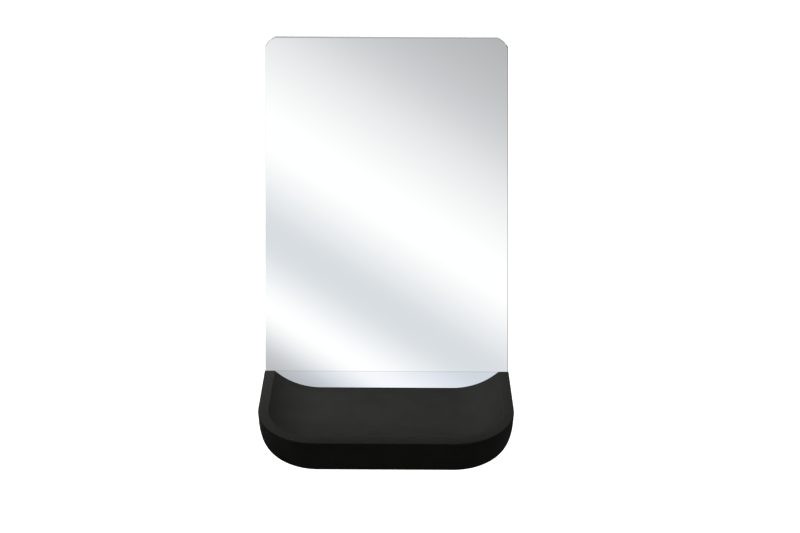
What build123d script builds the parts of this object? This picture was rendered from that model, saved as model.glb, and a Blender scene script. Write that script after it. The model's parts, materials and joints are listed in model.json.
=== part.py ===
from build123d import *
from math import cos, radians, sin, sqrt, tan
import os

# Makeup mirror with a tray, hung on a wall by two folded clips.
# Millimetres. +Z is up, the wall is the plane Y = 0 and the front looks along -Y.
# The origin is midway between the two wall screw holes, on the wall.

# Mirror glass
glass_width = 250
visible_glass_height = 418
glass_thickness = 3
corner_cut_width = 10.6
corner_cut_height = 12.4
corner_cut_radius = 24
lower_corner_cut = 3
glass_arris = 0.7
film_thickness = 0.3
film_margin = 1.2

# Foam tape between the film and the carrier
tape_thickness = 1
tape_width = 20
tape_margin = 4
tape_corner_gap = 6

# Carrier panel, a dark board behind the glass
carrier_side_inset = 30
carrier_top_inset = 34
carrier_thickness = 12
carrier_corner_radius = 16
carrier_edge_bevel = 1.5

# Folded wall clip and hanger clip
clip_sheet = 2
clip_slot = 4.5
clip_play = 0.4
clip_bend_radius = 0.4
clip_engagement = 10
clip_root_gap = 2
wall_clip_lower_edge = 14
wall_clip_upper_edge = 14
wall_hole_spacing = 100
wall_hole_edge = 25
wall_hole_radius = 2.75
hanger_clip_width = 120
hanger_flange_height = 26
hanger_hole_edge = 18
clip_corner_radius = 4
glass_top_height = 100

# Rubber stand-offs at the foot of the carrier
bumper_width = 18
bumper_side_inset = 25
bumper_height = 100

# Tray outline in plan, shared by the dish and the shell
tray_side_overhang = 0.4
tray_depth = 129.5
tray_corner_radius = 58
tray_side_angle = 5.14
tray_glass_gap = 0.3

# Dish with its flat rim
rim_width = 10.5
rim_thickness = 3
rim_edge_bevel = 0.7
rim_inner_bevel = 0.8
dish_depth = 21.2
dish_wall = 2.5
seal_width = 1.2
seal_depth = 1.3

# Outer shell
shell_height = 36.5
shell_wall = 2.5
shell_draft = 2.5
shell_bottom_radius = 13
bowl_clearance = 0.3

# Steel angle under the glass
bracket_sheet = 2.5
bracket_side_inset = 40
bracket_front_gap = 60
bracket_rise = 60
bracket_bend_radius = 0.8
bracket_corner_radius = 6
bracket_slot_clearance = 0.3
bracket_seat_height = 4
bracket_hole_side_edge = 25
bracket_hole_end_edge = 12
bracket_hole_rise = 22
pad_length = 40
pad_thickness = 2
pad_end_inset = 4

# Screws
screw_radius = 2
screw_head_radius = 3.7
screw_head_height = 2.2
screw_hole_clearance = 0.25
pilot_clearance = 0.05
screw_grip = 9.5
screw_tip_gap = 0.5
boss_radius = 4.6
dish_skin_over_screws = 1.8
counterbore_clearance = 0.3
plug_thickness = 1.6
plug_clearance = 0.2

# Widths that follow from the glass
tray_rear_width = glass_width + 2 * tray_side_overhang
carrier_width = glass_width - 2 * carrier_side_inset
bracket_width = glass_width - 2 * bracket_side_inset
bracket_reach = tray_depth - bracket_front_gap
wall_clip_width = wall_hole_spacing + 2 * wall_hole_edge

# Levels that follow from the sizes above
glass_top = glass_top_height
rim_top = glass_top - visible_glass_height
rim_bottom = rim_top - rim_thickness
dish_floor = rim_top - dish_depth
dish_underside = dish_floor - dish_wall
shell_bottom = rim_bottom - shell_height
bracket_bottom = shell_bottom + shell_wall + bracket_seat_height
bracket_top = bracket_bottom + bracket_sheet
glass_bottom = bracket_top + pad_thickness
tray_screw_seat = shell_bottom + plug_thickness + plug_clearance + screw_head_height
hanger_jog = wall_clip_upper_edge + clip_root_gap + clip_engagement
carrier_top = glass_top - carrier_top_inset

# Planes from the wall forwards
carrier_back = -(clip_slot + clip_sheet + clip_play + clip_sheet)
pilot_end = carrier_back - screw_grip - screw_tip_gap
carrier_front = carrier_back - carrier_thickness
film_back = carrier_front - tape_thickness
glass_back = film_back - film_thickness
glass_front = glass_back - glass_thickness
tray_rear = glass_front - tray_glass_gap

# The front corners of the tray turn about these two centres
side_angle = radians(tray_side_angle)
corner_y = glass_front - tray_depth + tray_corner_radius
corner_x = (
    tray_rear_width / 2
    + (tray_depth - tray_corner_radius) * tan(side_angle)
    - tray_corner_radius / cos(side_angle)
)


def upright(outline, front, thickness):
    # A flat outline in X and Z becomes a plate whose front face is at Y = front
    return Pos(0, front + thickness, 0) * extrude(Plane.XZ * outline, thickness)


def rod(radius, x, z, start, end):
    # A round bar along Y
    return Pos(x, start, z) * Rot(-90, 0, 0) * Cylinder(
        radius, end - start, align=(Align.CENTER, Align.CENTER, Align.MIN)
    )


def post(radius, x, y, bottom, top):
    # A round bar along Z
    return Pos(x, y, bottom) * Cylinder(
        radius, top - bottom, align=(Align.CENTER, Align.CENTER, Align.MIN)
    )


def pair(spacing):
    return (-spacing / 2, spacing / 2)


def tray_form(section, floor_bottom, floor_top):
    # Draws a wall section round the tray: along both sides, round both corners and along the front.
    # The section's X is the distance outwards from a corner centre.
    centre = Pos(corner_x, corner_y, 0)
    run = (glass_front - corner_y) / cos(side_angle) + tray_corner_radius / 2
    backwards = Vector(-sin(side_angle), cos(side_angle), 0)

    facing_front = Rot(0, 0, -90) * (Plane.XZ * section)
    facing_side = Rot(0, 0, tray_side_angle) * (Plane.XZ * section)
    corner = centre * revolve(facing_front, Axis.Z, 90 + tray_side_angle)
    side = extrude(centre * facing_side, run, dir=backwards)
    front = extrude(Pos(-corner_x, corner_y, 0) * facing_front, 2 * corner_x, dir=(1, 0, 0))

    rear_x = corner_x + run * backwards.X
    rear_y = corner_y + run * backwards.Y
    floor_outline = Polyline(
        (corner_x, corner_y), (rear_x, rear_y), (-rear_x, rear_y), (-corner_x, corner_y), close=True
    )
    floor = Pos(0, 0, floor_bottom) * extrude(make_face(floor_outline), floor_top - floor_bottom)
    form = floor + front + side + corner + mirror(side, Plane.YZ) + mirror(corner, Plane.YZ)
    room = 2 * tray_depth
    behind = Pos(0, tray_rear + room / 2, rim_top) * Box(4 * tray_depth, room, room)
    return form - behind


# The dish wall is an arc tangent to the floor, with its centre over a corner centre,
# so that each corner of the dish is part of a sphere
rim_inner_radius = tray_corner_radius - rim_width
dish_wall_radius = (rim_inner_radius**2 + dish_depth**2) / (2 * dish_depth)
wall_centre_z = dish_floor + dish_wall_radius


def dish_arc(growth, level):
    # The wall's arc, moved outwards by growth, from the floor up to a level
    radius = dish_wall_radius + growth
    reach = sqrt(radius**2 - (wall_centre_z - level) ** 2)
    middle_z = wall_centre_z - sqrt(radius**2 - (reach / 2) ** 2)
    return ThreePointArc((0, wall_centre_z - radius), (reach / 2, middle_z), (reach, level))


def dish_bowl(growth):
    # The filled form of the dish's hollow, moved outwards by growth
    arc = dish_arc(growth, rim_top)
    outline = arc + Polyline(arc @ 1, (0, rim_top), arc @ 0)
    return tray_form(make_face(outline), dish_floor - growth, rim_top)


def make_glass_outline(margin):
    half = glass_width / 2 - margin
    top = glass_top - margin
    bottom = glass_bottom + margin
    left_cut = RadiusArc(
        (-half, top - corner_cut_height), (-half + corner_cut_width, top), corner_cut_radius
    )
    right_cut = RadiusArc(
        (half - corner_cut_width, top), (half, top - corner_cut_height), corner_cut_radius
    )
    edges = [
        left_cut,
        Line(left_cut @ 1, right_cut @ 0),
        right_cut,
        Polyline(
            right_cut @ 1,
            (half, bottom + lower_corner_cut),
            (half - lower_corner_cut, bottom),
            (-half + lower_corner_cut, bottom),
            (-half, bottom + lower_corner_cut),
            left_cut @ 0,
        ),
    ]
    return make_face(edges)


def make_mirror_glass():
    plate = upright(make_glass_outline(0), glass_front, glass_thickness)
    front_edges = plate.faces().sort_by(Axis.Y)[0].edges()
    back_edges = plate.faces().sort_by(Axis.Y)[-1].edges()
    return chamfer(front_edges + back_edges, glass_arris)


def make_safety_film():
    return upright(make_glass_outline(film_margin), glass_back, film_thickness)


def make_tapes():
    # Four strips round the edge of the carrier's front
    middle_z = (carrier_top + bracket_top) / 2
    across = carrier_width - 2 * carrier_corner_radius
    upright_length = carrier_top - bracket_top - 2 * (tape_margin + tape_width + tape_corner_gap)
    strip_x = carrier_width / 2 - tape_margin - tape_width / 2
    top_z = carrier_top - tape_margin - tape_width / 2
    bottom_z = bracket_top + tape_margin + tape_width / 2
    places = {
        "tape_top": (0, top_z, across, tape_width),
        "tape_bottom": (0, bottom_z, across, tape_width),
        "tape_left": (-strip_x, middle_z, tape_width, upright_length),
        "tape_right": (strip_x, middle_z, tape_width, upright_length),
    }
    strips = {}
    for name, (x, z, width, height) in places.items():
        strips[name] = upright(Pos(x, z) * Rectangle(width, height), film_back, tape_thickness)
    return strips


def bracket_screw_places():
    # Two screws take the pull at the top of the leg and one locates it below
    upper_z = bracket_top + bracket_rise - bracket_hole_end_edge
    upper = [(x, upper_z) for x in pair(bracket_width - 2 * bracket_hole_side_edge)]
    return upper + [(0, bracket_top + bracket_hole_rise)]


def hanger_screw_places():
    z = hanger_jog + clip_sheet + (hanger_flange_height - clip_sheet) / 2
    return [(x, z) for x in pair(hanger_clip_width - 2 * hanger_hole_edge)]


def bumper_places():
    return [(x, bracket_top + bumper_height) for x in pair(carrier_width - 2 * bumper_side_inset)]


def make_carrier_panel():
    outline = Pos(0, (carrier_top + bracket_top) / 2) * Rectangle(
        carrier_width, carrier_top - bracket_top
    )
    outline = fillet(outline.vertices().group_by(Axis.Y)[-1], carrier_corner_radius)
    panel = upright(outline, carrier_front, carrier_thickness)
    back_edges = panel.faces().sort_by(Axis.Y)[-1].edges()
    panel = chamfer(back_edges, carrier_edge_bevel)
    for x, z in bracket_screw_places() + hanger_screw_places():
        panel -= rod(screw_radius + pilot_clearance, x, z, pilot_end, carrier_back)
    return panel


def bent_sheet(points, bends, thickness, width):
    # A folded sheet: one of its faces in Y and Z, thickened to the left of its run and drawn along X
    face_line = FilletPolyline(*points, radius=bends)
    section = make_face(offset(face_line, thickness, side=Side.LEFT))
    return Pos(-width / 2, 0, 0) * extrude(Plane.YZ * section, width)


def make_wall_clip():
    # The flange lies on the wall and the tongue stands clear of it by the slot
    clip = bent_sheet(
        [
            (0, -wall_clip_lower_edge),
            (0, wall_clip_upper_edge),
            (-clip_slot, wall_clip_upper_edge),
            (-clip_slot, hanger_jog),
        ],
        [clip_bend_radius + clip_sheet, clip_bend_radius],
        clip_sheet,
        wall_clip_width,
    )
    for x in pair(wall_hole_spacing):
        clip -= rod(wall_hole_radius, x, 0, -clip_sheet, 0)
    lower_corners = clip.edges().filter_by(Axis.Y).group_by(Axis.Z)[0]
    return fillet(lower_corners, clip_corner_radius)


def make_hanger_clip():
    # The flange is screwed to the carrier and the tongue hangs in the slot of the wall clip
    clip = bent_sheet(
        [
            (carrier_back, hanger_jog + hanger_flange_height),
            (carrier_back, hanger_jog),
            (clip_play - clip_slot, hanger_jog),
            (clip_play - clip_slot, hanger_jog - clip_engagement),
        ],
        [clip_bend_radius + clip_sheet, clip_bend_radius],
        clip_sheet,
        hanger_clip_width,
    )
    for x, z in hanger_screw_places():
        clip -= rod(screw_radius + screw_hole_clearance, x, z, carrier_back, carrier_back + clip_sheet)
    upper_corners = clip.edges().filter_by(Axis.Y).group_by(Axis.Z)[-1]
    return fillet(upper_corners, clip_corner_radius)


def make_back_screws(places, sheet):
    # Pan-head screws driven forwards through a sheet into the carrier
    seat = carrier_back + sheet
    screws = []
    for x, z in places:
        head = rod(screw_head_radius, x, z, seat, seat + screw_head_height)
        screws.append(head + rod(screw_radius, x, z, pilot_end + screw_tip_gap, seat))
    return Compound(children=screws)


def make_bumper(x, z):
    # A self-adhesive pad that reaches from the carrier to the wall
    return upright(Pos(x, z) * Rectangle(bumper_width, bumper_width), carrier_back, -carrier_back)


def tray_screw_places():
    y = glass_front - bracket_reach + bracket_hole_end_edge
    return [(x, y) for x in pair(bracket_width - 2 * bracket_hole_side_edge)]


def make_tray_bracket():
    # One leg behind the carrier, the other under the glass and into the tray
    angle = bent_sheet(
        [
            (carrier_back, bracket_top + bracket_rise),
            (carrier_back, bracket_top),
            (glass_front - bracket_reach, bracket_top),
        ],
        bracket_bend_radius,
        bracket_sheet,
        bracket_width,
    )
    hole = screw_radius + screw_hole_clearance
    for x, z in bracket_screw_places():
        angle -= rod(hole, x, z, carrier_back, carrier_back + bracket_sheet)
    for x, y in tray_screw_places():
        angle -= post(hole, x, y, bracket_bottom, bracket_top)
    upper_corners = angle.edges().filter_by(Axis.Y).group_by(Axis.Z)[-1]
    front_corners = angle.edges().filter_by(Axis.Z).group_by(Axis.Y)[0]
    return fillet(upper_corners + front_corners, bracket_corner_radius)


pad_x = (bracket_width - pad_length) / 2 - pad_end_inset


def make_setting_pad(x):
    depth = glass_thickness + film_thickness
    return Pos(x, glass_front + depth / 2, bracket_top + pad_thickness / 2) * Box(
        pad_length, depth, pad_thickness
    )


def make_tray_dish():
    # Half section of the dish: concave wall and flat rim
    upper_arc = dish_arc(0, rim_top)
    lower_arc = dish_arc(dish_wall, rim_bottom)
    outline = [
        upper_arc,
        Polyline(
            upper_arc @ 1,
            (tray_corner_radius, rim_top),
            (tray_corner_radius, rim_bottom),
            lower_arc @ 1,
        ),
        lower_arc,
        Line(lower_arc @ 0, upper_arc @ 0),
    ]
    section = make_face(outline)
    outer_corner = section.vertices().sort_by_distance((tray_corner_radius, rim_top))[0]
    section = chamfer(outer_corner, rim_edge_bevel)
    inner_corner = section.vertices().sort_by_distance((rim_inner_radius, rim_top))[0]
    section = chamfer(inner_corner, rim_inner_bevel)
    dish = tray_form(section, dish_underside, dish_floor)

    # Bosses stand on the steel angle
    for x, y in tray_screw_places():
        dish += post(boss_radius, x, y, bracket_top, dish_underside)
        pilot_top = dish_floor - dish_skin_over_screws
        dish -= post(screw_radius + pilot_clearance, x, y, bracket_top, pilot_top)
    return dish - seal_band(seal_width + 2 * pilot_clearance, seal_depth + pilot_clearance)


def seal_band(width, depth):
    # A band along the middle of the dish's back edge, following its hollow
    middle = dish_wall / 2
    band = dish_bowl(middle + width / 2) - dish_bowl(middle - width / 2)
    slab = Pos(0, tray_rear - depth / 2, dish_floor) * Box(
        2 * tray_rear_width, depth, 2 * (dish_depth - rim_thickness)
    )
    return band & slab


def shell_section(inset, with_hollow):
    # Half section of the shell: drafted wall that rounds under into the floor
    top_radius = tray_corner_radius - inset
    lean = shell_height * tan(radians(shell_draft))
    outer = [
        (0, rim_bottom),
        (top_radius, rim_bottom),
        (top_radius - lean, shell_bottom),
        (0, shell_bottom),
    ]
    face = make_face(Polyline(*outer, close=True))
    bottom_corner = face.vertices().sort_by_distance((top_radius - lean, shell_bottom))[0]
    face = fillet(bottom_corner, shell_bottom_radius)
    if with_hollow:
        lean_inside = (shell_height - shell_wall) * tan(radians(shell_draft))
        inner = [
            (0, rim_bottom),
            (top_radius - shell_wall, rim_bottom),
            (top_radius - shell_wall - lean_inside, shell_bottom + shell_wall),
            (0, shell_bottom + shell_wall),
        ]
        hollow = make_face(Polyline(*inner, close=True))
        hollow_corner = hollow.vertices().sort_by_distance(inner[2])[0]
        face -= chamfer(hollow_corner, shell_bottom_radius - shell_wall)
    return face


def make_tray_shell():
    shell = tray_form(shell_section(0, True), shell_bottom, shell_bottom + shell_wall)

    # The back wall closes the bowl under the dish, with a slot for the steel angle
    filled = tray_form(shell_section(0, False), shell_bottom, rim_bottom)
    slab = Pos(0, tray_rear - shell_wall / 2, shell_bottom) * Box(
        2 * tray_rear_width, shell_wall, 4 * shell_height
    )
    back_wall = (filled & slab) - dish_bowl(dish_wall + bowl_clearance)
    slot = Pos(0, tray_rear, (bracket_top + bracket_bottom) / 2) * Box(
        bracket_width + 2 * bracket_slot_clearance,
        4 * shell_wall,
        bracket_sheet + 2 * bracket_slot_clearance,
    )
    shell += back_wall - slot

    # Seats carry the steel angle over the floor
    for x, y in tray_screw_places():
        shell += post(boss_radius + shell_wall, x, y, shell_bottom, bracket_bottom)
        hole = screw_radius + screw_hole_clearance
        shell -= post(hole, x, y, shell_bottom, bracket_bottom)
        counterbore = screw_head_radius + counterbore_clearance
        shell -= post(counterbore, x, y, shell_bottom, tray_screw_seat)
    return shell


def make_tray_screws():
    tip = dish_floor - dish_skin_over_screws - screw_tip_gap
    screws = []
    for x, y in tray_screw_places():
        head = post(screw_head_radius, x, y, tray_screw_seat - screw_head_height, tray_screw_seat)
        screws.append(head + post(screw_radius, x, y, tray_screw_seat, tip))
    return Compound(children=screws)


def make_screw_plugs():
    radius = screw_head_radius + counterbore_clearance
    plugs = [
        post(radius, x, y, shell_bottom, shell_bottom + plug_thickness)
        for x, y in tray_screw_places()
    ]
    return Compound(children=plugs)


parts = {
    "mirror_glass": make_mirror_glass(),
    "safety_film": make_safety_film(),
    **make_tapes(),
    "carrier_panel": make_carrier_panel(),
    "wall_clip": make_wall_clip(),
    "hanger_clip": make_hanger_clip(),
    "hanger_screws": make_back_screws(hanger_screw_places(), clip_sheet),
    "bumper_left": make_bumper(*bumper_places()[0]),
    "bumper_right": make_bumper(*bumper_places()[1]),
    "tray_bracket": make_tray_bracket(),
    "bracket_screws": make_back_screws(bracket_screw_places(), bracket_sheet),
    "setting_pad_left": make_setting_pad(-pad_x),
    "setting_pad_right": make_setting_pad(pad_x),
    "tray_dish": make_tray_dish(),
    "rear_seal": seal_band(seal_width, seal_depth),
    "tray_shell": make_tray_shell(),
    "tray_screws": make_tray_screws(),
    "screw_plugs": make_screw_plugs(),
}

os.makedirs("parts", exist_ok=True)
for name, part in parts.items():
    export_step(part, f"parts/{name}.step")
    print(name, round(part.volume), "mm3")
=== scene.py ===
import bpy
import bmesh
import json
from math import asin, atan2, cos, dist, pi, radians, sin, sqrt, tan
from mathutils import Matrix, Vector


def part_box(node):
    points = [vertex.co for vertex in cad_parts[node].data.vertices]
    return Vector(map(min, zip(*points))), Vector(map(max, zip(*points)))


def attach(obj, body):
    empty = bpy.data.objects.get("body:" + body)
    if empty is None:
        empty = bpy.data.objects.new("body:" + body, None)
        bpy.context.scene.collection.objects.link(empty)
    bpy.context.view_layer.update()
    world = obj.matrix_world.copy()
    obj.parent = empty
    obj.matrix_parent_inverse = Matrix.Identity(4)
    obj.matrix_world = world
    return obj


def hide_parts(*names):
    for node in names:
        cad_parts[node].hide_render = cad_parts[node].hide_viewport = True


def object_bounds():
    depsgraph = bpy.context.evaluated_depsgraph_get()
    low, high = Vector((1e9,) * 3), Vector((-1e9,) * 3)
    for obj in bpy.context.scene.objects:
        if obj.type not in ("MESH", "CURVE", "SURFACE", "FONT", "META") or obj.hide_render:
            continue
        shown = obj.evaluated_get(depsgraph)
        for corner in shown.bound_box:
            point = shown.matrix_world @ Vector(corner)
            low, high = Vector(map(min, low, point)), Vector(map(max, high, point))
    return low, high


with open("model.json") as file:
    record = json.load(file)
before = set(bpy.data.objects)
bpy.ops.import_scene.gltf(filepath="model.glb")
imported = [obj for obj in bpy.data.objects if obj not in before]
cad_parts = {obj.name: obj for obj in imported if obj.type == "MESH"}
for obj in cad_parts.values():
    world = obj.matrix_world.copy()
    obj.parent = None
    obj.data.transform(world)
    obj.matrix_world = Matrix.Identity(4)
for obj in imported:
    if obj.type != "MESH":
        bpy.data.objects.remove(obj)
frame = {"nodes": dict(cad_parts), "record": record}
cadLow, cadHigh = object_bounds()
nodes = frame["nodes"]
mm = 0.001
print("frame loaded with", len(nodes), "CAD nodes")

# Levels and planes of the mirror, read from the frame
glassLow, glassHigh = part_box("mirror_glass")
dishLow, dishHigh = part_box("tray_dish")
shellLow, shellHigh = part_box("tray_shell")
bracketLow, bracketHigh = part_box("tray_bracket")
rimTop = dishHigh.z
rimBottom = shellHigh.z
shellBottom = shellLow.z
trayRear = dishHigh.y
trayFront = dishLow.y
glassFront = glassLow.y

# Camera: parallel view, a little right of the middle and looking down on the tray
view = {
    "azimuth": 0.5,           # degrees
    "elevation": 35.0,        # degrees
    "pictureWidth": 800,
    "pictureHeight": 533,
    "metresPerPixel": 0.00102754,
    "rimColumn": 386.65,      # where the middle of the rim's rear edge lies in the picture
    "rimRow": 371.0,
    "distance": 3.0,
}


def makeCamera():
    azimuth = radians(view["azimuth"])
    elevation = radians(view["elevation"])
    right = Vector((cos(azimuth), sin(azimuth), 0))
    back = Vector((sin(azimuth) * cos(elevation), -cos(azimuth) * cos(elevation), sin(elevation)))
    up = back.cross(right)
    across = (view["pictureWidth"] / 2 - view["rimColumn"]) * view["metresPerPixel"]
    rise = (view["rimRow"] - view["pictureHeight"] / 2) * view["metresPerPixel"]
    lookAt = Vector((0, glassFront, rimTop)) + right * across + up * rise
    lens = bpy.data.cameras.new("mainCamera")
    lens.type = "ORTHO"
    lens.ortho_scale = view["pictureWidth"] * view["metresPerPixel"]
    camera = bpy.data.objects.new("mainCamera", lens)
    camera.location = lookAt + back * view["distance"]
    camera.rotation_mode = "QUATERNION"
    camera.rotation_quaternion = (-back).to_track_quat("-Z", "Y")
    bpy.context.scene.collection.objects.link(camera)
    bpy.context.scene.camera = camera


makeCamera()
bpy.context.scene.view_settings.view_transform = "Standard"
print("camera set")


# Node helpers. Patterns are drawn in the piece's own coordinates, so their sizes are metres.
def newMaterial(name, shaderType="ShaderNodeBsdfPrincipled"):
    material = bpy.data.materials.new(name)
    material.use_nodes = True
    tree = material.node_tree
    tree.nodes.clear()
    shader = tree.nodes.new(shaderType)
    output = tree.nodes.new("ShaderNodeOutputMaterial")
    tree.links.new(shader.outputs[0], output.inputs["Surface"])
    return material, tree, shader


def objectPoint(tree, stretch=(1, 1, 1)):
    place = tree.nodes.new("ShaderNodeTexCoord")
    mapping = tree.nodes.new("ShaderNodeMapping")
    mapping.inputs["Scale"].default_value = stretch
    tree.links.new(place.outputs["Object"], mapping.inputs["Vector"])
    return mapping.outputs["Vector"]


def noiseField(tree, size, detail=3, stretch=(1, 1, 1)):
    # Soft random field with blobs about that size, longer along an axis where the stretch is under 1
    noise = tree.nodes.new("ShaderNodeTexNoise")
    noise.inputs["Scale"].default_value = 1 / size
    noise.inputs["Detail"].default_value = detail
    tree.links.new(objectPoint(tree, stretch), noise.inputs["Vector"])
    return noise.outputs["Fac"]


def cellField(tree, size):
    # Distance to the middle of irregular cells about that size
    cells = tree.nodes.new("ShaderNodeTexVoronoi")
    cells.inputs["Scale"].default_value = 1 / size
    tree.links.new(objectPoint(tree), cells.inputs["Vector"])
    return cells.outputs["Distance"]


def remap(tree, field, spread, low=0, high=1):
    # Turns the spread of a field's values into low to high
    node = tree.nodes.new("ShaderNodeMapRange")
    node.inputs["From Min"].default_value = spread[0]
    node.inputs["From Max"].default_value = spread[1]
    node.inputs["To Min"].default_value = low
    node.inputs["To Max"].default_value = high
    tree.links.new(field, node.inputs["Value"])
    return node.outputs["Result"]


def calculate(tree, operation, *values):
    node = tree.nodes.new("ShaderNodeMath")
    node.operation = operation
    for socket, value in zip(node.inputs, values):
        if isinstance(value, (int, float)):
            socket.default_value = value
        else:
            tree.links.new(value, socket)
    return node.outputs[0]


def blendColours(tree, factor, first, second):
    node = tree.nodes.new("ShaderNodeMix")
    node.data_type = "RGBA"
    factorSocket, firstSocket, secondSocket = node.inputs[0], node.inputs[6], node.inputs[7]
    tree.links.new(factor, factorSocket)
    for socket, colour in ((firstSocket, first), (secondSocket, second)):
        if isinstance(colour, tuple):
            socket.default_value = (*colour, 1)
        else:
            tree.links.new(colour, socket)
    return node.outputs[2]


def addBump(tree, shader, field, depth, strength=1.0):
    # Each further call lies over the bump before it
    bump = tree.nodes.new("ShaderNodeBump")
    bump.inputs["Strength"].default_value = strength
    bump.inputs["Distance"].default_value = depth
    tree.links.new(field, bump.inputs["Height"])
    before = shader.inputs["Normal"].links
    if before:
        tree.links.new(before[0].from_socket, bump.inputs["Normal"])
    tree.links.new(bump.outputs["Normal"], shader.inputs["Normal"])


def facingBack(tree):
    # How squarely the surface faces the wall: 1 is straight at it, -1 straight away from it
    place = tree.nodes.new("ShaderNodeTexCoord")
    split = tree.nodes.new("ShaderNodeSeparateXYZ")
    tree.links.new(place.outputs["Normal"], split.inputs[0])
    return split.outputs["Y"]


def alongAxis(tree, axis):
    split = tree.nodes.new("ShaderNodeSeparateXYZ")
    tree.links.new(objectPoint(tree), split.inputs[0])
    return split.outputs[axis]


def colourFrom(tree, shader, colour):
    tree.links.new(colour, shader.inputs["Base Color"])


def roughnessFrom(tree, shader, roughness):
    tree.links.new(roughness, shader.inputs["Roughness"])


def linear(level):
    # A screen level from 0 to 255 as a linear light value
    share = level / 255
    return share / 12.92 if share <= 0.04045 else ((share + 0.055) / 1.055) ** 2.4


# Stretches of a field's values that a pattern uses
whole = (0, 1)
noiseWide = (0.3, 0.7)
noiseMiddle = (0.35, 0.65)
cellWide = (0.1, 0.8)
print("node helpers ready")

# Mirror: silvered front with a painted bluish reflection below the rim and a painted shade line at rim
# level, polished edge and painted back
mirror = {
    "silver": (0.94, 0.945, 0.945),
    "edge": (0.78, 0.81, 0.79),
    "edgeStreak": (0.66, 0.70, 0.68),
    "streak": 1.2 * mm,
    "streakStretch": (1, 0.1, 1),
    "streakSpread": (0.4, 0.65),
    "backPaint": (0.20, 0.22, 0.22),
    "backRoughness": 0.5,
    "paintedReflectionTint": (0.91, 0.93, 0.97),  # painted bluish reflection on the glass below the rim, inside the tray
    "paintedRimShade": 0.84,                  # how much light the painted shade line at rim level returns
    "paintedRimShadeHeight": 1.0 * mm,
    "squareOn": 0.95,                 # how squarely a surface faces front or back to count as that face
}


def mirrorMaterial():
    material, tree, shader = newMaterial("silveredGlass")
    depth = facingBack(tree)
    isFront = calculate(tree, "LESS_THAN", depth, -mirror["squareOn"])
    isBack = calculate(tree, "GREATER_THAN", depth, mirror["squareOn"])
    height = alongAxis(tree, "Z")
    below = calculate(tree, "LESS_THAN", height, rimTop)
    # A thin painted shade line darkens the glass just under the rim level
    aboveLine = calculate(tree, "GREATER_THAN", height, rimTop - mirror["paintedRimShadeHeight"])
    inPaintedShadeLine = calculate(tree, "MULTIPLY", below, aboveLine)
    paintedLineShade = calculate(tree, "MULTIPLY", inPaintedShadeLine, 1 - mirror["paintedRimShade"])
    # Below the rim the silver takes a bluish tint, a painted reflection of the tray's inside
    lower = tuple(share * tint for share, tint in zip(mirror["silver"], mirror["paintedReflectionTint"]))
    face = blendColours(tree, below, mirror["silver"], lower)
    face = blendColours(tree, paintedLineShade, face, (0, 0, 0))
    # The polished edge keeps faint grinding streaks across its width
    grinding = noiseField(tree, mirror["streak"], stretch=mirror["streakStretch"])
    streak = remap(tree, grinding, mirror["streakSpread"])
    edge = blendColours(tree, streak, mirror["edge"], mirror["edgeStreak"])
    edge = blendColours(tree, isBack, edge, mirror["backPaint"])
    colourFrom(tree, shader, blendColours(tree, isFront, edge, face))
    tree.links.new(remap(tree, isBack, whole, 1, 0), shader.inputs["Metallic"])
    roughnessFrom(tree, shader, remap(tree, isBack, whole, 0, mirror["backRoughness"]))
    return material


# Tray plastic: satin black with a fine moulded texture and slight waves
plastic = {
    "dark": (0.0285, 0.0284, 0.0276),
    "light": (0.0320, 0.0319, 0.0308),
    "blotch": 22 * mm,
    "roughness": (0.40, 0.50),
    "specular": 0.06,
    "grain": 0.45 * mm,
    "grainDepth": 0.012 * mm,
    "wave": 9 * mm,
    "waveDepth": 0.03 * mm,
    "waveStrength": 0.35,
}


def plasticMaterial():
    material, tree, shader = newMaterial("satinBlackPlastic")
    blotch = remap(tree, noiseField(tree, plastic["blotch"], detail=4), noiseMiddle)
    colourFrom(tree, shader, blendColours(tree, blotch, plastic["dark"], plastic["light"]))
    fine = noiseField(tree, plastic["grain"])
    roughnessFrom(tree, shader, remap(tree, fine, noiseWide, *plastic["roughness"]))
    shader.inputs["Specular IOR Level"].default_value = plastic["specular"]
    addBump(tree, shader, fine, plastic["grainDepth"])
    wave = noiseField(tree, plastic["wave"], detail=2)
    addBump(tree, shader, wave, plastic["waveDepth"], plastic["waveStrength"])
    return material


# Backing film: grey vinyl with an orange peel and a fine weave
film = {
    "dark": (0.33, 0.355, 0.36),
    "light": (0.39, 0.41, 0.415),
    "blotch": 30 * mm,
    "roughness": (0.42, 0.58),
    "specular": 0.35,
    "peel": 1.6 * mm,
    "peelDepth": 0.02 * mm,
    "weave": 0.9 * mm,
    "weaveDepth": 0.008 * mm,
    "weaveStrength": 0.5,
}


def filmMaterial():
    material, tree, shader = newMaterial("greyBackingFilm")
    blotch = remap(tree, noiseField(tree, film["blotch"], detail=5), noiseMiddle)
    colourFrom(tree, shader, blendColours(tree, blotch, film["dark"], film["light"]))
    peel = noiseField(tree, film["peel"], detail=2)
    roughnessFrom(tree, shader, remap(tree, peel, noiseWide, *film["roughness"]))
    shader.inputs["Specular IOR Level"].default_value = film["specular"]
    addBump(tree, shader, peel, film["peelDepth"])
    addBump(tree, shader, cellField(tree, film["weave"]), film["weaveDepth"], film["weaveStrength"])
    return material


# Foam tape: closed cells
foam = {
    "dark": (0.62, 0.62, 0.60),
    "light": (0.76, 0.76, 0.73),
    "cell": 0.35 * mm,
    "cellDepth": 0.09 * mm,
    "roughness": 0.9,
    "specular": 0.2,
}


def foamMaterial():
    material, tree, shader = newMaterial("closedCellFoam")
    cells = cellField(tree, foam["cell"])
    shade = remap(tree, cells, cellWide)
    colourFrom(tree, shader, blendColours(tree, shade, foam["light"], foam["dark"]))
    shader.inputs["Roughness"].default_value = foam["roughness"]
    shader.inputs["Specular IOR Level"].default_value = foam["specular"]
    addBump(tree, shader, cells, foam["cellDepth"])
    return material


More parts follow.
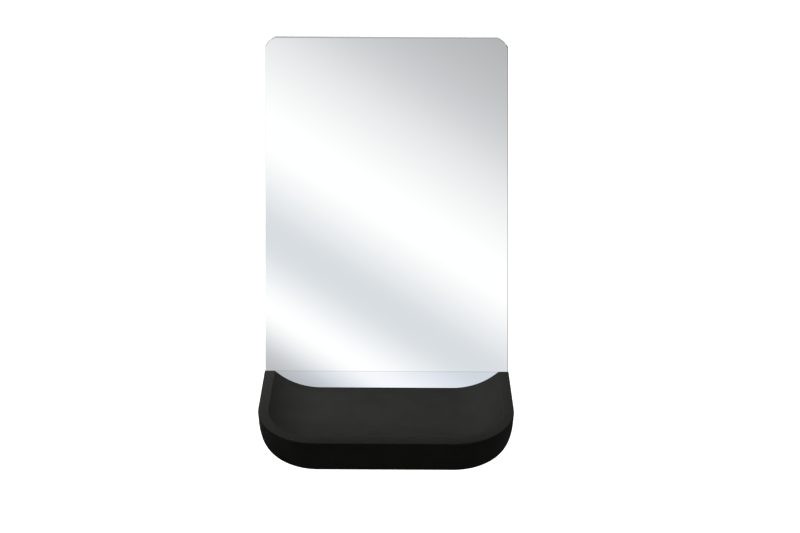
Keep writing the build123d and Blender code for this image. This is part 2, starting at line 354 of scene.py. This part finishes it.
# Carrier board: black fibreboard, smooth faces and fibrous cut edges
board = {
    "face": (0.030, 0.029, 0.028),
    "faceLight": (0.042, 0.040, 0.038),
    "faceRoughness": 0.5,
    "cut": (0.050, 0.044, 0.038),
    "cutLight": (0.078, 0.068, 0.058),
    "cutRoughness": 0.85,
    "squareOn": 0.5,               # a surface that faces front or back less squarely is a cut edge
    "specular": 0.3,
    "fibre": 0.5 * mm,
    "fibreStretch": (1, 2.6, 1),
    "fibreDepth": 0.035 * mm,
    "fibreStrength": 0.6,
    "layer": 1.1 * mm,
    "layerStretch": (0.15, 3, 0.15),
    "layerDepth": 0.05 * mm,
    "layerStrength": 0.35,
    "mottle": 11 * mm,
    "mottleShare": 0.45,
}


def boardMaterial():
    material, tree, shader = newMaterial("blackFibreboard")
    squareOn = calculate(tree, "ABSOLUTE", facingBack(tree))
    isCut = calculate(tree, "LESS_THAN", squareOn, board["squareOn"])
    fibre = noiseField(tree, board["fibre"], detail=5, stretch=board["fibreStretch"])
    fleck = remap(tree, fibre, noiseMiddle)
    patches = noiseField(tree, board["mottle"], detail=4)
    mottle = remap(tree, patches, noiseMiddle, 0, board["mottleShare"])
    face = blendColours(tree, fleck, board["face"], board["faceLight"])
    face = blendColours(tree, mottle, face, board["cut"])
    cut = blendColours(tree, fleck, board["cut"], board["cutLight"])
    colourFrom(tree, shader, blendColours(tree, isCut, face, cut))
    roughnessFrom(tree, shader, remap(tree, isCut, whole, board["faceRoughness"], board["cutRoughness"]))
    shader.inputs["Specular IOR Level"].default_value = board["specular"]
    layers = noiseField(tree, board["layer"], stretch=board["layerStretch"])
    addBump(tree, shader, fibre, board["fibreDepth"], board["fibreStrength"])
    addBump(tree, shader, layers, board["layerDepth"], board["layerStrength"])
    return material


# Zinc-plated sheet: pale spangle with rolling marks along the sheet
zinc = {
    "dark": (0.50, 0.51, 0.52),
    "light": (0.66, 0.67, 0.68),
    "roughness": (0.28, 0.44),
    "spangle": 5 * mm,
    "spangleShare": 0.5,
    "roll": 0.35 * mm,
    "rollStretch": (0.04, 1, 1),
    "rollShare": 0.5,
    "rollDepth": 0.006 * mm,
}


def zincMaterial():
    material, tree, shader = newMaterial("zincPlatedSteel")
    spangle = remap(tree, cellField(tree, zinc["spangle"]), cellWide)
    roll = noiseField(tree, zinc["roll"], detail=4, stretch=zinc["rollStretch"])
    marks = remap(tree, roll, noiseWide, 0, zinc["rollShare"])
    tone = calculate(tree, "MULTIPLY_ADD", spangle, zinc["spangleShare"], marks)
    colourFrom(tree, shader, blendColours(tree, tone, zinc["light"], zinc["dark"]))
    shader.inputs["Metallic"].default_value = 1.0
    roughnessFrom(tree, shader, remap(tree, roll, noiseWide, *zinc["roughness"]))
    addBump(tree, shader, roll, zinc["rollDepth"])
    return material


# Screws: bright plated steel with a fine grain
screwSteel = {
    "dark": (0.46, 0.47, 0.48),
    "light": (0.68, 0.69, 0.70),
    "roughness": (0.24, 0.38),
    "grain": 0.25 * mm,
    "grainDepth": 0.008 * mm,
}


def screwMaterial():
    material, tree, shader = newMaterial("platedScrewSteel")
    grain = noiseField(tree, screwSteel["grain"], detail=4)
    tone = remap(tree, grain, noiseMiddle)
    colourFrom(tree, shader, blendColours(tree, tone, screwSteel["dark"], screwSteel["light"]))
    shader.inputs["Metallic"].default_value = 1.0
    roughnessFrom(tree, shader, remap(tree, grain, noiseWide, *screwSteel["roughness"]))
    addBump(tree, shader, grain, screwSteel["grainDepth"])
    return material


# Rubber: matt black with a dusty bloom
rubber = {
    "dark": (0.020, 0.020, 0.020),
    "light": (0.036, 0.036, 0.035),
    "bloom": 5 * mm,
    "bloomSpread": (0.35, 0.7),
    "roughness": (0.85, 0.7),
    "specular": 0.3,
    "pore": 0.3 * mm,
    "poreSpread": (0.1, 0.7),
    "poreDepth": 0.02 * mm,
    "poreStrength": 0.6,
}


def rubberMaterial():
    material, tree, shader = newMaterial("mattBlackRubber")
    bloom = remap(tree, noiseField(tree, rubber["bloom"], detail=5), rubber["bloomSpread"])
    colourFrom(tree, shader, blendColours(tree, bloom, rubber["dark"], rubber["light"]))
    pores = cellField(tree, rubber["pore"])
    roughnessFrom(tree, shader, remap(tree, pores, rubber["poreSpread"], *rubber["roughness"]))
    shader.inputs["Specular IOR Level"].default_value = rubber["specular"]
    addBump(tree, shader, pores, rubber["poreDepth"], rubber["poreStrength"])
    return material


# Powder coat on the steel angle: fine orange peel
coat = {
    "dark": (0.022, 0.022, 0.022),
    "light": (0.032, 0.032, 0.031),
    "roughness": (0.36, 0.50),
    "roughPatch": 14 * mm,
    "specular": 0.4,
    "peel": 0.9 * mm,
    "peelDepth": 0.03 * mm,
}


def coatMaterial():
    material, tree, shader = newMaterial("blackPowderCoat")
    peel = noiseField(tree, coat["peel"], detail=2)
    tone = remap(tree, peel, noiseMiddle)
    colourFrom(tree, shader, blendColours(tree, tone, coat["dark"], coat["light"]))
    patches = noiseField(tree, coat["roughPatch"])
    roughnessFrom(tree, shader, remap(tree, patches, noiseWide, *coat["roughness"]))
    shader.inputs["Specular IOR Level"].default_value = coat["specular"]
    addBump(tree, shader, peel, coat["peelDepth"])
    return material


materials = {
    "mirror_glass": mirrorMaterial(),
    "tray_plastic": plasticMaterial(),
    "backing_film": filmMaterial(),
    "foam": foamMaterial(),
    "carrier_board": boardMaterial(),
    "zinc_steel": zincMaterial(),
    "screw_steel": screwMaterial(),
    "rubber": rubberMaterial(),
    "coated_steel": coatMaterial(),
}

for subpart in frame["record"]["subparts"]:
    for slot in nodes[subpart["node"]].material_slots:
        slot.material = materials[subpart["material_slot"]]
print("materials made for", len(materials), "finishes")

# Mesh helpers
cleaning = {
    "mergeWithin": 0.002 * mm,
    "dropUnder": 0.001 * mm,
    "creaseAngle": 34,       # degrees
    "overcut": 1 * mm,       # how far a cutter stands out of the surface that it opens
}


def meshFrom(name, shape):
    bmesh.ops.remove_doubles(shape, verts=shape.verts, dist=cleaning["mergeWithin"])
    bmesh.ops.dissolve_degenerate(shape, edges=shape.edges, dist=cleaning["dropUnder"])
    bmesh.ops.recalc_face_normals(shape, faces=shape.faces)
    mesh = bpy.data.meshes.new(name)
    shape.to_mesh(mesh)
    shape.free()
    return mesh


def finishMesh(name, mesh, slotName, replaced):
    # Shades the mesh, gives it its finish and lets it stand for its CAD nodes
    mesh.shade_smooth()
    mesh.set_sharp_from_angle(angle=radians(cleaning["creaseAngle"]))
    mesh.materials.clear()
    mesh.materials.append(materials[slotName])
    piece = bpy.data.objects.new(name, mesh)
    bpy.context.scene.collection.objects.link(piece)
    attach(piece, "mirror_unit")
    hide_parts(*replaced)
    return piece


def cutAway(name, mesh, cutters):
    # The mesh less all the cutters
    body = bpy.data.objects.new(name, mesh)
    tools = [bpy.data.objects.new("cutter", cutter) for cutter in cutters]
    for item in [body] + tools:
        bpy.context.scene.collection.objects.link(item)
    for tool in tools:
        change = body.modifiers.new("cut", "BOOLEAN")
        change.operation = "DIFFERENCE"
        change.solver = "EXACT"
        change.object = tool
    graph = bpy.context.evaluated_depsgraph_get()
    result = bpy.data.meshes.new_from_object(body.evaluated_get(graph))
    for item in [body] + tools:
        bpy.data.objects.remove(item)
    return result


def box(low, high):
    shape = bmesh.new()
    bmesh.ops.create_cube(shape, size=1)
    size = Vector(high) - Vector(low)
    middle = (Vector(high) + Vector(low)) / 2
    bmesh.ops.transform(shape, matrix=Matrix.LocRotScale(middle, None, size), verts=shape.verts)
    return meshFrom("box", shape)


def turned(profile, place, steps):
    # Spins a profile of (radius, depth) about a line through the place that runs back along Y
    shape = bmesh.new()
    rings = []
    for radius, depth in profile:
        ring = []
        for step in range(steps):
            angle = 2 * pi * step / steps
            point = Vector((radius * cos(angle), depth, -radius * sin(angle)))
            ring.append(shape.verts.new(Vector(place) + point))
        rings.append(ring)
    for lower, upper in zip(rings, rings[1:]):
        for step in range(steps):
            after = (step + 1) % steps
            shape.faces.new((lower[step], lower[after], upper[after], upper[step]))
    shape.faces.new(rings[0])
    shape.faces.new(rings[-1])
    return meshFrom("turned", shape)


def joined(name, meshes):
    shape = bmesh.new()
    for mesh in meshes:
        shape.from_mesh(mesh)
        bpy.data.meshes.remove(mesh)
    mesh = bpy.data.meshes.new(name)
    shape.to_mesh(mesh)
    shape.free()
    return mesh


print("mesh helpers ready")

# Tray: sides that widen forwards, two round front corners and a straight front
tray = {
    "cornerRadius": 58 * mm,
    "sideAngle": 5.14,           # degrees
    "sideOverhang": 0.4 * mm,    # each side stands out past the glass by this much at its front face
    "rimWidth": 10.5 * mm,
    "outerRound": 1.1 * mm,      # rim's outer edge
    "innerRound": 1.6 * mm,      # rim's inner edge
    "lowerRound": 0.35 * mm,     # rim's lower edge, at the seam
    "dishDepth": 21.2 * mm,
    "wall": 2.5 * mm,
    "bellyReach": 19.5 * mm,     # how far the shell's wall turns in under the rim
    "bellySquareness": 5.0,      # 2 is a plain ellipse, more is squarer
    "bellyDraft": 1.2 * mm,
    "sideTaper": 5.0 * mm,       # how much further the two sides draw in towards the bottom
    "seamStep": 0.25 * mm,       # the shell stands back from the rim by this much
    "bowlClearance": 0.3 * mm,
    "slotClearance": 0.3 * mm,   # round the steel angle, in the shell's back wall
    "slotHeight": 2.8 * mm,      # above the underside of the angle
    "sideSteps": 6,
    "cornerSteps": 44,
    "arcSteps": 30,
    "wallStart": 3,              # which point of the arc, from the rim down, gives the wall's direction
    "bellySteps": 36,
    "roundSteps": 6,
}
sideAngle = radians(tray["sideAngle"])
cornerY = trayFront + tray["cornerRadius"]
rearHalfWidth = (glassHigh.x - glassLow.x) / 2 + tray["sideOverhang"]
cornerX = (
    rearHalfWidth
    + (glassFront - cornerY) * tan(sideAngle)
    - tray["cornerRadius"] / cos(sideAngle)
)
dishFloor = rimTop - tray["dishDepth"]
rimInner = tray["cornerRadius"] - tray["rimWidth"]
wallRadius = (rimInner**2 + tray["dishDepth"] ** 2) / (2 * tray["dishDepth"])
wallCentre = dishFloor + wallRadius


def trayRow(reach, rear, centreX):
    # Places round the tray at one reach from the corner centres, from the right rear to the left rear
    length = (rear - cornerY - reach * sin(sideAngle)) / cos(sideAngle)
    half = []
    for step in range(tray["sideSteps"]):
        along = length * (1 - step / tray["sideSteps"])
        half.append((
            centreX - along * sin(sideAngle) + reach * cos(sideAngle),
            cornerY + along * cos(sideAngle) + reach * sin(sideAngle),
        ))
    for step in range(tray["cornerSteps"] + 1):
        turn = sideAngle - (pi / 2 + sideAngle) * step / tray["cornerSteps"]
        half.append((centreX + reach * cos(turn), cornerY + reach * sin(turn)))
    return half + [(-x, y) for x, y in reversed(half)]


def traySolid(section, rear=trayRear, taper=0):
    # A section of (reach, level), from the middle of the underside outwards and back to the middle on top,
    # is drawn round the tray and closed at the rear. Its sides draw in by the taper towards the bottom.
    shape = bmesh.new()
    rows = []
    for reach, z in section:
        depth = max(0, (rimBottom - z) / (rimBottom - shellBottom))
        row = trayRow(reach, rear, cornerX - taper * depth**2)
        rows.append([shape.verts.new((x, y, z)) for x, y in row])
    for lower, upper in zip(rows, rows[1:]):
        for step in range(len(lower) - 1):
            shape.faces.new((lower[step], lower[step + 1], upper[step + 1], upper[step]))
    shape.faces.new([row[0] for row in rows] + [row[-1] for row in reversed(rows)])
    shape.faces.new(rows[0])
    shape.faces.new(rows[-1])
    return meshFrom("traySolid", shape)


def dishArc(growth, level):
    # Points of the dish wall's arc, moved outwards by growth, from the floor up to a level
    radius = wallRadius + growth
    end = asin(sqrt(radius**2 - (wallCentre - level) ** 2) / radius)
    turns = [end * step / tray["arcSteps"] for step in range(tray["arcSteps"] + 1)]
    return [(radius * sin(turn), wallCentre - radius * cos(turn)) for turn in turns]


def roundCorner(before, corner, after, radius):
    # Points of an arc that takes the place of a corner and touches both of its sides
    corner = Vector(corner)
    toBefore = (Vector(before) - corner).normalized()
    toAfter = (Vector(after) - corner).normalized()
    half = toBefore.angle(toAfter) / 2
    centre = corner + (toBefore + toAfter).normalized() * radius / sin(half)
    start = corner + toBefore * radius / tan(half) - centre
    turn = start.angle_signed(corner + toAfter * radius / tan(half) - centre)
    points = []
    for step in range(tray["roundSteps"] + 1):
        angle = atan2(start.y, start.x) - turn * step / tray["roundSteps"]
        points.append((centre.x + radius * cos(angle), centre.y + radius * sin(angle)))
    return points


def dishSection():
    lower = dishArc(tray["wall"], rimBottom)
    upper = dishArc(0, rimTop)[::-1]
    rimEdge = upper[0]
    outerBottom = (tray["cornerRadius"], rimBottom)
    outerTop = (tray["cornerRadius"], rimTop)
    section = lower
    section += roundCorner(lower[-1], outerBottom, outerTop, tray["lowerRound"])
    section += roundCorner(outerBottom, outerTop, rimEdge, tray["outerRound"])
    section += roundCorner(outerTop, rimEdge, upper[tray["wallStart"]], tray["innerRound"])
    # The wall goes on from where that last rounding ends
    rounded = dist(section[-1], rimEdge)
    section += [point for point in upper[1:] if dist(point, rimEdge) > rounded]
    return section


def shellSection(inset, bottom, top):
    # A wall that runs down from the rim and turns in under it along a squarish quarter ellipse
    section = [(0, bottom)]
    belly = tray["bellyReach"] - inset
    for step in range(tray["bellySteps"] + 1):
        depth = cos(pi / 2 * step / tray["bellySteps"])
        bulge = (1 - depth ** tray["bellySquareness"]) ** (1 / tray["bellySquareness"])
        reach = tray["cornerRadius"] - inset - belly * (1 - bulge) - tray["bellyDraft"] * depth
        section.append((reach, rimBottom + (bottom - rimBottom) * depth))
    if top > rimBottom:
        section.append((section[-1][0], top))
    return section + [(0, top)]


def makeDish():
    return finishMesh("trayDish", traySolid(dishSection()), "tray_plastic", ["tray_dish"])


def makeShell():
    wall = tray["wall"]
    clearance = tray["slotClearance"]
    overcut = cleaning["overcut"]
    outer = traySolid(
        shellSection(tray["seamStep"], shellBottom, rimBottom),
        taper=tray["sideTaper"],
    )
    hollow = traySolid(
        shellSection(wall, shellBottom + wall, rimBottom + overcut),
        rear=trayRear - wall,
        taper=tray["sideTaper"],
    )
    bowl = dishArc(wall + tray["bowlClearance"], rimTop)
    room = traySolid(bowl + [(0, rimTop)], rear=trayRear + overcut)
    slot = box(
        (bracketLow.x - clearance, trayRear - 2 * wall, bracketLow.z - clearance),
        (bracketHigh.x + clearance, trayRear + overcut, bracketLow.z + tray["slotHeight"]),
    )
    mesh = cutAway("trayShell", outer, [hollow, room, slot])
    return finishMesh("trayShell", mesh, "tray_plastic", ["tray_shell"])


trayPieces = [makeDish(), makeShell()]
print("tray made")

# Screws, in the places of their CAD nodes
screw = {
    "radius": 3.7 * mm,
    "height": 2.2 * mm,
    "crownMiddle": 0.55,       # share of the radius that the crown's flat middle takes
    "crownStart": 0.25,        # share of the height where the crown begins
    "crownSteps": 8,
    "shank": 2 * mm,
    "tip": 0.4 * mm,
    "tipLength": 2 * mm,
    "recess": 1.5 * mm,
    "arm": 2.2 * mm,           # half the length of the recess's two slots
    "slot": 0.75 * mm,
    "steps": 48,
}


def backScrew(x, z, seat, end):
    # Pan head with a cross recess, driven forwards into the board
    middle, start = screw["crownMiddle"], screw["crownStart"]
    profile = [
        (screw["tip"], end - seat),
        (screw["shank"], end - seat + screw["tipLength"]),
        (screw["shank"], 0),
        (screw["radius"], 0),
    ]
    for step in range(screw["crownSteps"] + 1):
        turn = pi / 2 * step / screw["crownSteps"]
        profile.append((
            screw["radius"] * (middle + (1 - middle) * cos(turn)),
            screw["height"] * (start + (1 - start) * sin(turn)),
        ))
    body = turned(profile, (x, seat, z), screw["steps"])
    crown = seat + screw["height"]
    cutters = []
    for halfX, halfZ in ((screw["arm"], screw["slot"] / 2), (screw["slot"] / 2, screw["arm"])):
        cutters.append(box(
            (x - halfX, crown - screw["recess"], z - halfZ),
            (x + halfX, crown + cleaning["overcut"], z + halfZ),
        ))
    return cutAway("screw", body, cutters)


def makeBackScrews(name, node, places):
    low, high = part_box(node)
    seat = high.y - screw["height"]
    heads = [backScrew(x, z, seat, low.y) for x, z in places]
    return finishMesh(name, joined(name, heads), "screw_steel", [node])


hangerLow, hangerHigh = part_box("hanger_screws")
hangerX = hangerHigh.x - screw["radius"]
hangerZ = (hangerLow.z + hangerHigh.z) / 2
makeBackScrews("hangerScrews", "hanger_screws", [(-hangerX, hangerZ), (hangerX, hangerZ)])

bracketScrewLow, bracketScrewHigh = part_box("bracket_screws")
bracketX = bracketScrewHigh.x - screw["radius"]
bracketZ = bracketScrewHigh.z - screw["radius"]
makeBackScrews("bracketScrews", "bracket_screws", [
    (-bracketX, bracketZ),
    (bracketX, bracketZ),
    (0, bracketScrewLow.z + screw["radius"]),
])
print("screws made")

# Rubber pads at the foot of the board
pad = {"cornerRound": 2.5 * mm, "backRound": 1.2 * mm, "steps": 4}


def roundEdges(shape, edges, radius):
    bmesh.ops.bevel(shape, geom=edges, offset=radius, segments=pad["steps"], profile=0.5, affect="EDGES")


def makePad(name, node):
    low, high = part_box(node)
    shape = bmesh.new()
    shape.from_mesh(box(low, high))
    halfDepth = (high.y - low.y) / 2
    corners = [edge for edge in shape.edges if abs(edge.verts[0].co.y - edge.verts[1].co.y) > halfDepth]
    roundEdges(shape, corners, pad["cornerRound"])
    back = max(shape.faces, key=lambda face: face.normal.y)
    roundEdges(shape, back.edges[:], pad["backRound"])
    return finishMesh(name, meshFrom(name, shape), "rubber", [node])


makePad("padLeft", "bumper_left")
makePad("padRight", "bumper_right")
print("pads made")

# Brightness of the surroundings where the camera sees them, and where they light the object
sky = {"seen": 1.0, "lit": 0.13}

# Stage: a floor, four glowing sheets that only reflections show, and a sheet that gives shade
stage = {
    "floorDrop": 0.45,
    "floorHalf": 6.0,
    "floorSeen": (0.80, 0.80, 0.80),
    "floorBounce": (0.05, 0.05, 0.05),
    "floorGlow": 0.55,
    "floorRoughness": 0.9,
    "cardY": -0.150,            # graded card in front, seen in the mirror
    "cardLow": (-0.45, -0.70),
    "cardHigh": (0.45, 0.25),
    "cardGain": 1.06,
    "flagX": 0.42,              # dark sheet to the right
    "flagLow": (-0.3, -0.9),
    "flagHigh": (0.3, 0.1),
    "flagLevel": 0.16,
    "roofRise": 0.40,           # grey sheet above the top edge of the glass
    "roofLow": (-0.5, -0.8),
    "roofHigh": (0.5, 0.0),
    "roofLevel": 0.52,
    "rearCardY": 1.0,           # white card behind, for the metal at the back
    "rearCardHalf": 1.6,
    "rearCardRise": 0.8,
    "rearCardLevel": 0.85,
    "shadeRise": 0.30,          # black sheet over the front of the tray, above the rim
    "shadeStart": 0.125,        # how far in front of the glass that sheet begins
    "shadeLength": 0.6,
    "shadeHalf": 0.6,
}
# Tones of the graded card along its slanted axis: place in metres, screen level, coolness
tones = [
    (-0.070, 190, 0.008),
    (-0.047, 222, 0.012),
    (-0.016, 255, 0.000),
    (0.030, 233, 0.014),
    (0.058, 221, 0.018),
    (0.090, 230, 0.014),
    (0.140, 253, 0.000),
    (0.182, 254, 0.000),
    (0.290, 216, 0.008),
    (0.402, 180, 0.008),
]
# Slant of the bands in degrees, and how far the reflected view drops on its way to the card
band = {"angle": 37.6, "drop": 0.087}


def sheetOf(name, corners):
    mesh = bpy.data.meshes.new(name)
    mesh.from_pydata(corners, [], [(0, 1, 2, 3)])
    sheet = bpy.data.objects.new(name, mesh)
    bpy.context.scene.collection.objects.link(sheet)
    return sheet


def levelSheet(name, low, high, z):
    (x0, y0), (x1, y1) = low, high
    return sheetOf(name, [(x0, y0, z), (x1, y0, z), (x1, y1, z), (x0, y1, z)])


def uprightSheet(name, low, high, y):
    (x0, z0), (x1, z1) = low, high
    return sheetOf(name, [(x0, y, z0), (x1, y, z0), (x1, y, z1), (x0, y, z1)])


def sideSheet(name, low, high, x):
    (y0, z0), (y1, z1) = low, high
    return sheetOf(name, [(x, y0, z0), (x, y1, z0), (x, y1, z1), (x, y0, z1)])


def makeGlow(sheet):
    # The sheet glows, and is seen only in reflections
    sheet.visible_camera = False
    sheet.visible_diffuse = False
    sheet.visible_shadow = False
    sheet.visible_transmission = False
    sheet.visible_volume_scatter = False
    material, tree, glow = newMaterial(sheet.name, "ShaderNodeEmission")
    glow.inputs["Color"].default_value = (1, 1, 1, 1)
    sheet.data.materials.append(material)
    return tree, glow


def keepOff(source, pieces):
    # The lamp or sheet doesn't light these pieces
    group = bpy.data.collections.new(source.name + "KeepsOff")
    source.light_linking.receiver_collection = group
    for piece in pieces:
        group.objects.link(piece)
    for member in group.collection_objects:
        member.light_linking.link_state = "EXCLUDE"


def whiteShare(tree):
    # 1 where the camera sees the surroundings, straight or in the mirror, and 0 where they light the
    # object. In the mirror means after one sharp reflection and no diffuse one.
    ray = tree.nodes.new("ShaderNodeLightPath").outputs
    straight = calculate(tree, "MAXIMUM", ray["Is Camera Ray"], ray["Is Transmission Ray"])
    mirrored = calculate(tree, "MULTIPLY", ray["Is Glossy Ray"], ray["Is Singular Ray"])
    for depth, most in (("Diffuse Depth", 0), ("Glossy Depth", 1)):
        within = calculate(tree, "LESS_THAN", ray[depth], most + 0.5)
        mirrored = calculate(tree, "MULTIPLY", mirrored, within)
    return calculate(tree, "MAXIMUM", straight, mirrored)


def makeFloor():
    half = stage["floorHalf"]
    sheet = levelSheet("floor", (-half, -half), (half, half), cadLow.z - stage["floorDrop"])
    material, tree, shader = newMaterial("paleFloor")
    seen = whiteShare(tree)
    colourFrom(tree, shader, blendColours(tree, seen, stage["floorBounce"], stage["floorSeen"]))
    shader.inputs["Roughness"].default_value = stage["floorRoughness"]
    shader.inputs["Specular IOR Level"].default_value = 0.0
    shader.inputs["Emission Color"].default_value = (1, 1, 1, 1)
    glow = calculate(tree, "MULTIPLY", seen, stage["floorGlow"])
    tree.links.new(glow, shader.inputs["Emission Strength"])
    # From below the floor is clear
    side = tree.nodes.new("ShaderNodeNewGeometry")
    tree.links.new(remap(tree, side.outputs["Backfacing"], whole, 1, 0), shader.inputs["Alpha"])
    sheet.data.materials.append(material)


def makeCard():
    sheet = uprightSheet("gradedCard", stage["cardLow"], stage["cardHigh"], stage["cardY"])
    tree, glow = makeGlow(sheet)
    slant = radians(band["angle"])
    across = calculate(tree, "MULTIPLY", alongAxis(tree, "X"), sin(slant))
    height = calculate(tree, "ADD", alongAxis(tree, "Z"), band["drop"] - rimTop)
    axis = calculate(tree, "ADD", across, calculate(tree, "MULTIPLY", height, cos(slant)))
    first, last = tones[0][0], tones[-1][0]
    ramp = tree.nodes.new("ShaderNodeValToRGB")
    tree.links.new(remap(tree, axis, (first, last)), ramp.inputs["Fac"])
    ramp.color_ramp.interpolation = "CARDINAL"
    while len(ramp.color_ramp.elements) < len(tones):
        ramp.color_ramp.elements.new(0.5)
    for element, (place, level, cool) in zip(ramp.color_ramp.elements, tones):
        element.position = (place - first) / (last - first)
    for element, (place, level, cool) in zip(ramp.color_ramp.elements, tones):
        element.color = (linear(level * (1 - cool)), linear(level), linear(level * (1 + cool)), 1)
    tree.links.new(ramp.outputs["Color"], glow.inputs["Color"])
    strength = remap(tree, whiteShare(tree), whole, sky["lit"], stage["cardGain"])
    tree.links.new(strength, glow.inputs["Strength"])


def makeFlag():
    sheet = sideSheet("darkFlag", stage["flagLow"], stage["flagHigh"], stage["flagX"])
    tree, glow = makeGlow(sheet)
    glow.inputs["Strength"].default_value = stage["flagLevel"]


def makeRoof():
    sheet = levelSheet("greyRoof", stage["roofLow"], stage["roofHigh"], cadHigh.z + stage["roofRise"])
    tree, glow = makeGlow(sheet)
    strength = remap(tree, whiteShare(tree), whole, sky["lit"], stage["roofLevel"])
    tree.links.new(strength, glow.inputs["Strength"])


def makeRearCard():
    half = stage["rearCardHalf"]
    low = (half, cadLow.z - stage["floorDrop"])
    high = (-half, cadHigh.z + stage["rearCardRise"])
    sheet = uprightSheet("rearCard", low, high, stage["rearCardY"])
    tree, glow = makeGlow(sheet)
    glow.inputs["Strength"].default_value = stage["rearCardLevel"]
    keepOff(sheet, trayPieces)


def makeShade():
    # Takes part of the lamps' light from the front of the tray
    start = glassFront - stage["shadeStart"]
    low = (-stage["shadeHalf"], start - stage["shadeLength"])
    high = (stage["shadeHalf"], start)
    sheet = levelSheet("frontShade", low, high, rimTop + stage["shadeRise"])
    sheet.visible_camera = False
    sheet.visible_glossy = False
    sheet.visible_diffuse = False
    material, tree, shader = newMaterial("blackShade")
    shader.inputs["Base Color"].default_value = (0, 0, 0, 1)
    sheet.data.materials.append(material)


makeFloor()
makeCard()
makeFlag()
makeRoof()
makeRearCard()
makeShade()
# The photographed mirror doesn't show the tray
for piece in trayPieces + [nodes[name] for name in ("tray_bracket", "tray_screws", "screw_plugs")]:
    piece.visible_glossy = False
print("stage set")

# Light: a lamp above and to the left, a weaker one in front, one behind for the back, and an even sky
lamps = {
    "key": {
        "towards": (-0.45, -0.06, 0.89),
        "distance": 1.5,
        "size": 0.8,
        "power": 22.5,
        "colour": (1, 1, 1),
        "lightsTray": True,
    },
    "front": {
        "towards": (-0.05, -1.0, 0.6),
        "distance": 1.6,
        "size": 0.8,
        "power": 7,
        "colour": (1, 0.99, 0.84),
        "lightsTray": True,
    },
    "rear": {
        "towards": (0.1, 0.95, 0.3),
        "distance": 1.6,
        "size": 0.5,
        "power": 16,
        "colour": (1, 1, 1),
        "lightsTray": False,
    },
}


def makeLamp(name, settings):
    lamp = bpy.data.lights.new(name, "AREA")
    lamp.shape = "DISK"
    lamp.size = settings["size"]
    lamp.energy = settings["power"]
    lamp.color = settings["colour"]
    holder = bpy.data.objects.new(name, lamp)
    towards = Vector(settings["towards"]).normalized()
    trayMiddle = Vector((0, (trayFront + trayRear) / 2, rimTop))
    holder.location = trayMiddle + towards * settings["distance"]
    holder.rotation_mode = "QUATERNION"
    holder.rotation_quaternion = (-towards).to_track_quat("-Z", "Y")
    bpy.context.scene.collection.objects.link(holder)
    if not settings["lightsTray"]:
        keepOff(holder, trayPieces)


def makeSky():
    world = bpy.data.worlds.new("paleSky")
    world.use_nodes = True
    tree = world.node_tree
    tree.nodes.clear()
    glow = tree.nodes.new("ShaderNodeBackground")
    output = tree.nodes.new("ShaderNodeOutputWorld")
    strength = remap(tree, whiteShare(tree), whole, sky["lit"], sky["seen"])
    tree.links.new(strength, glow.inputs["Strength"])
    tree.links.new(glow.outputs[0], output.inputs["Surface"])
    bpy.context.scene.world = world


for name, settings in lamps.items():
    makeLamp(name + "Lamp", settings)
makeSky()
print("light set")
